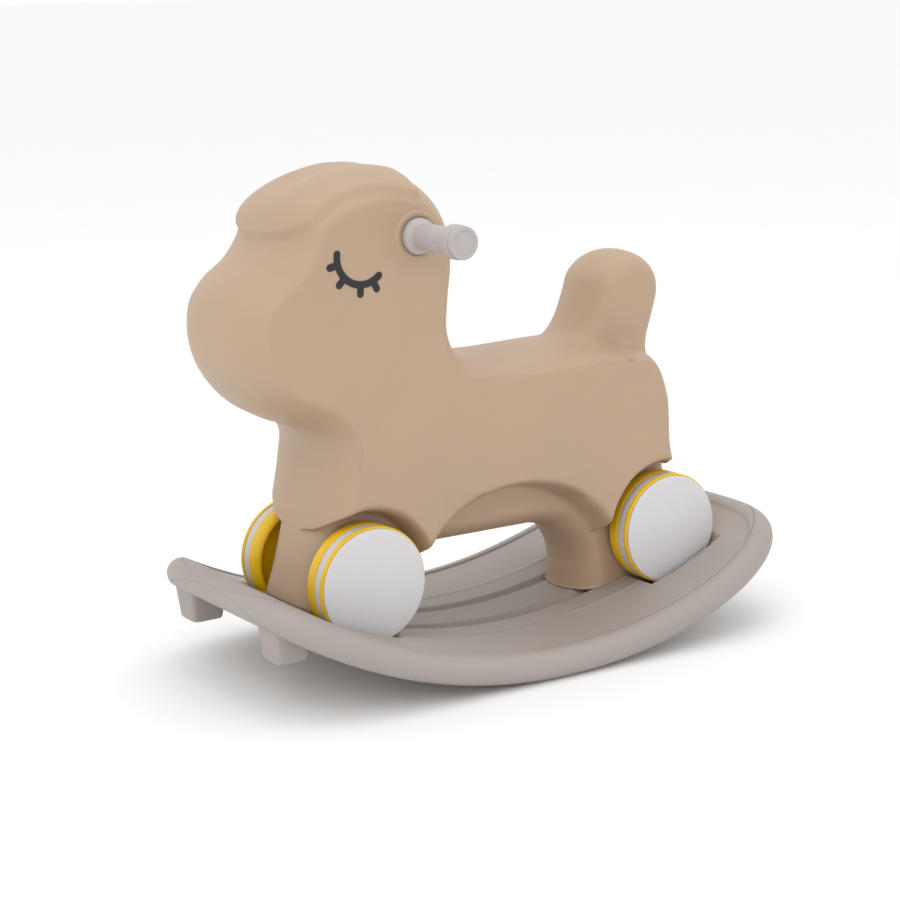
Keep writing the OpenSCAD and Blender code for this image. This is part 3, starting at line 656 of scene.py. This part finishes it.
class ROCKER_OT_board(Operator):
    """Curved double-skin rocker board with its lugs"""
    bl_idname = "rocker.board"
    bl_label = "Rocker board"

    def execute(self, context):
        mat = finish("grey_moulding", context.scene.board_props.colour, 0.5, 800, 0.00012, 0.035)
        add(board_skin(), "rocker_base", mat, "board_grey", "rocker_board")
        for side, hand in ((1, "left"), (-1, "right")):
            for end, place in ((-1, "front"), (1, "rear")):
                add(lug("lug_%s_%s" % (place, hand), side, end), "rocker_base", mat, "board_grey")
        return {"FINISHED"}


# ---------------------------------------------------------------- wheels

def wheel_profiles():
    """Closed (radius, x) loops of core, tread and cap, in millimetres from the inner face.

    The cap's dome is a parabola, x = edge + rise (1 - k^2) at radius k r."""
    c = CORE_RADIUS / MM
    core = [(8, 0.4), (12, 0.4), (13, 1.5), (13, 9), (43, 9), (45, 8), (45.4, 3), (47, 0.6),
            (49, 0), (51.6, 1.2), (c - 0.3, 4.2), (c, 7), (c, 13.8), (c - 0.6, 15), (50, 15),
            (50, 25), (c - 0.6, 25), (c, 25.8), (c, 28.6), (c - 0.8, 29.5), (c - 2, 29.6),
            (46, 29.6), (46, 14), (13, 13), (12, 28), (8, 28)]
    t = c - 0.8
    tread = [(50.1, 15.1), (t - 0.9, 15.1), (t, 15.9), (t + 0.1, 20), (t, 24.1),
             (t - 0.9, 24.9), (50.1, 24.9)]
    r, rise, inner = 52.0, 3.4, 43      # cap radius, rise of its dome, radius of the dome's inside
    cap = [(r * k - (0.9 if k == 1 else 0), 32 + rise * (1 - k * k)) for k in np.linspace(0, 1, 22)]
    cap += [(r - 0.25, 31.7), (r, 31.1), (r, 30.1), (45.8, 30.1), (45.8, 24), (43.8, 24),
            (43.8, 30.4)]
    cap += [(inner * k, 30 + rise * (1 - (k * inner / r) ** 2)) for k in np.linspace(0.98, 0, 8)]
    return core, tread, cap


class ROCKER_OT_wheels(Operator):
    """Four wheels: yellow core, light running band and domed cap"""
    bl_idname = "rocker.wheels"
    bl_label = "Wheels"

    def execute(self, context):
        props = context.scene.wheel_props
        core_mat = finish("yellow_core", props.core_colour, 0.38, 1100, 0.00005, 0.03)
        tread_mat = finish("light_band", props.tread_colour, 0.55, 1500, 0.00009, 0.02)
        cap_mat = finish("white_cap", props.cap_colour, 0.42, 1000, 0.00005, 0.015)
        core, tread, cap = wheel_profiles()
        inner_face = CORE_LOW[0] / MM
        for wheel in WHEELS:
            axle = FRONT_AXLE if "front" in wheel else REAR_AXLE
            side = 1 if "left" in wheel else -1
            for part, loop, mat, slot, soft in (
                    ("core", core, core_mat, "wheel_yellow", 0.5),
                    ("tread", tread, tread_mat, "tread_light", 0.4),
                    ("cap", cap, cap_mat, "cap_white", 0.3)):
                p = np.array(loop, float)
                p[:, 1] += inner_face
                if part != "cap":
                    p = rounded(p, soft)
                node = "wheel_%s_%s" % (wheel, part)
                add(lathe(node + "_turned", p * MM, axle, side), "wheel_" + wheel, mat, slot, node)
        return {"FINISHED"}


# ---------------------------------------------------------------- handlebar

def grip_profile():
    """Closed (radius, x) loop of a grip: flange, waist, fine rings, knob; millimetres.

    It is drawn from the grip's inner end x and from the end face e, with waist g and knob k."""
    e = box_of("grip_end_left")[1][0] / MM
    x = box_of("grip_left")[0][0] / MM
    bore, g, k = 8.05, 11.8, 15.0
    loop = [(bore, x), (15.4, x), (16, x + 0.8), (16, x + 10), (15.2, x + 11.4), (13.8, x + 13),
            (12.3, x + 15), (g, x + 18), (g, e - 34)]
    for start in (34, 30):
        loop += [(g - 0.7, e - start + 0.5), (g - 0.7, e - start + 1.5), (g, e - start + 2),
                 (g, e - start + 3.6)]
    loop += [(g, e - 22), (g + 0.8, e - 20), (k - 1.2, e - 19), (k, e - 17.6), (k, e - 8),
             (k - 0.8, e - 6.6), (k - 2, e - 6), (bore, e - 6)]
    return loop, e


class ROCKER_OT_handlebar(Operator):
    """Two grips with their end discs on the steel bar"""
    bl_idname = "rocker.handlebar"
    bl_label = "Handlebar"

    def execute(self, context):
        mat = finish("grey_grip", context.scene.handle_props.colour, 0.45, 1300, 0.00008, 0.02)
        loop, e = grip_profile()
        disc = [(0, e - 5.9), (14, e - 5.9), (14.4, e - 5.2), (14.4, e - 1), (13.8, e),
                (11, e), (10.4, e - 0.8), (4, e - 0.9), (0, e - 0.9)]
        for side, hand in ((1, "left"), (-1, "right")):
            p = rounded(np.array(loop, float), 0.5) * MM
            add(lathe("grip_%s_turned" % hand, p, HANDLE, side), "handlebar", mat, "handle_grey",
                "grip_" + hand)
            p = np.array(disc, float) * MM
            add(lathe("end_disc_" + hand, p, HANDLE, side), "handlebar", mat, "handle_grey",
                "grip_end_" + hand)
        return {"FINISHED"}


# ---------------------------------------------------------------- small parts

class ROCKER_OT_small_parts(Operator):
    """Finishes for the eyes, metal parts, bushes and hand knobs, which keep their CAD shape"""
    bl_idname = "rocker.small_parts"
    bl_label = "Small parts"

    def execute(self, context):
        props = context.scene.handle_props
        steel = finish("zinc_plate", (0.56, 0.57, 0.58), 0.35, 2500, 0.00002, 0.05, metallic=1.0)
        brass = finish("turned_brass", (0.60, 0.42, 0.14), 0.32, 2500, 0.00002, 0.04, metallic=1.0)
        nylon = finish("grey_nylon", (0.46, 0.43, 0.42), 0.5, 1400, 0.00006, 0.03)
        film = finish("black_film", props.eye_colour, 0.42, 1800, 0.00003, 0.05)
        paint_nodes(("eye_left", "eye_right"), film)
        paint_nodes(("axle_front", "axle_rear", "axle_push_nuts", "board_bolts", "board_washers",
                     "handle_bar", "handle_sleeve", "axle_sleeves"), steel)
        paint_nodes(("foot_inserts",), brass)
        paint_nodes(["turn_knobs", "axle_spacers"] + ["wheel_%s_bush" % w for w in WHEELS], nylon)
        return {"FINISHED"}


# ---------------------------------------------------------------- stage

FLOOR_HALF_SIZE = 90.0
FILM_WIDTH = 36
LAMP_AIM = Vector((0, 0, 0.2))
LAMPS = (("key", (1.6, -2.2, 2.6), 17, 2.0),      # name, place in metres, watts, width
         ("fill", (2.6, 1.4, 1.4), 1, 2.0),
         ("sky", (0.0, 0.2, 3.2), 16, 2.4))


class ROCKER_OT_stage(Operator):
    """Pale floor, soft lights and the camera"""
    bl_idname = "rocker.stage"
    bl_label = "Stage"

    def execute(self, context):
        scene, props = context.scene, context.scene.stage_props
        world = bpy.data.worlds.new("studio")
        scene.world = world
        world.use_nodes = True
        back = world.node_tree.nodes["Background"]
        back.inputs["Color"].default_value = (1.0, 1.0, 1.0, 1)
        back.inputs["Strength"].default_value = 1.0
        corners = np.array([[-1, -1, 0], [1, -1, 0], [1, 1, 0], [-1, 1, 0]])
        floor = mesh_object("floor", corners * FLOOR_HALF_SIZE, [[0, 1, 2, 3]])
        paint(floor, finish("pale_floor", (0.95, 0.95, 0.95), 0.8, 300, 0.00002, 0.005))
        for name, place, power, width in LAMPS:
            lamp = bpy.data.lights.new(name, "AREA")
            lamp.energy, lamp.size = power, width
            obj = bpy.data.objects.new(name, lamp)
            obj.location = place
            way = LAMP_AIM - Vector(place)
            obj.rotation_euler = way.to_track_quat("-Z", "Y").to_euler()
            scene.collection.objects.link(obj)
        az, el = math.radians(props.azimuth), math.radians(props.elevation)
        back_way = Vector((math.sin(az) * math.cos(el), -math.cos(az) * math.cos(el),
                           math.sin(el)))
        cam = bpy.data.objects.new("camera", bpy.data.cameras.new("camera"))
        cam.data.lens, cam.data.sensor_width = props.focal, FILM_WIDTH
        cam.location = Vector(props.aim) + back_way * props.distance
        look = (-back_way).to_track_quat("-Z", "Y").to_matrix()
        cam.rotation_euler = (look @ Matrix.Rotation(math.radians(props.roll), 3, "Z")).to_euler()
        scene.collection.objects.link(cam)
        scene.camera = cam
        scene.view_settings.view_transform = "Standard"
        return {"FINISHED"}


class ROCKER_PT_panel(Panel):
    """Lists the toy's pieces in the order in which they are made"""
    bl_idname = "ROCKER_PT_panel"
    bl_label = "Rocking animal"
    bl_space_type = "VIEW_3D"
    bl_region_type = "UI"
    bl_category = "Rocking animal"

    def draw(self, context):
        for group in ("body_props", "board_props", "wheel_props", "handle_props", "stage_props"):
            box = self.layout.box()
            props = getattr(context.scene, group)
            for name in props.__annotations__:
                box.prop(props, name)
        for op in OPERATORS:
            self.layout.operator(op.bl_idname)


OPERATORS = (ROCKER_OT_stage, ROCKER_OT_board, ROCKER_OT_body, ROCKER_OT_wheels,
             ROCKER_OT_handlebar, ROCKER_OT_small_parts)
GROUPS = {"body_props": BodyProps, "board_props": BoardProps, "wheel_props": WheelProps,
          "handle_props": HandleProps, "stage_props": StageProps}


def register():
    """Registers the classes and hangs each property group on the scene."""
    for cls in list(GROUPS.values()) + list(OPERATORS) + [ROCKER_PT_panel]:
        bpy.utils.register_class(cls)
    for name, cls in GROUPS.items():
        setattr(bpy.types.Scene, name, PointerProperty(type=cls))


def unregister():
    """Takes back what register did."""
    for name in GROUPS:
        delattr(bpy.types.Scene, name)
    for cls in [ROCKER_PT_panel] + list(OPERATORS) + list(GROUPS.values()):
        bpy.utils.unregister_class(cls)


def main():
    """Makes every piece in order."""
    register()
    bpy.ops.rocker.stage()
    bpy.ops.rocker.board()
    bpy.ops.rocker.body()
    bpy.ops.rocker.wheels()
    bpy.ops.rocker.handlebar()
    bpy.ops.rocker.small_parts()


if __name__ == "__main__":
    main()
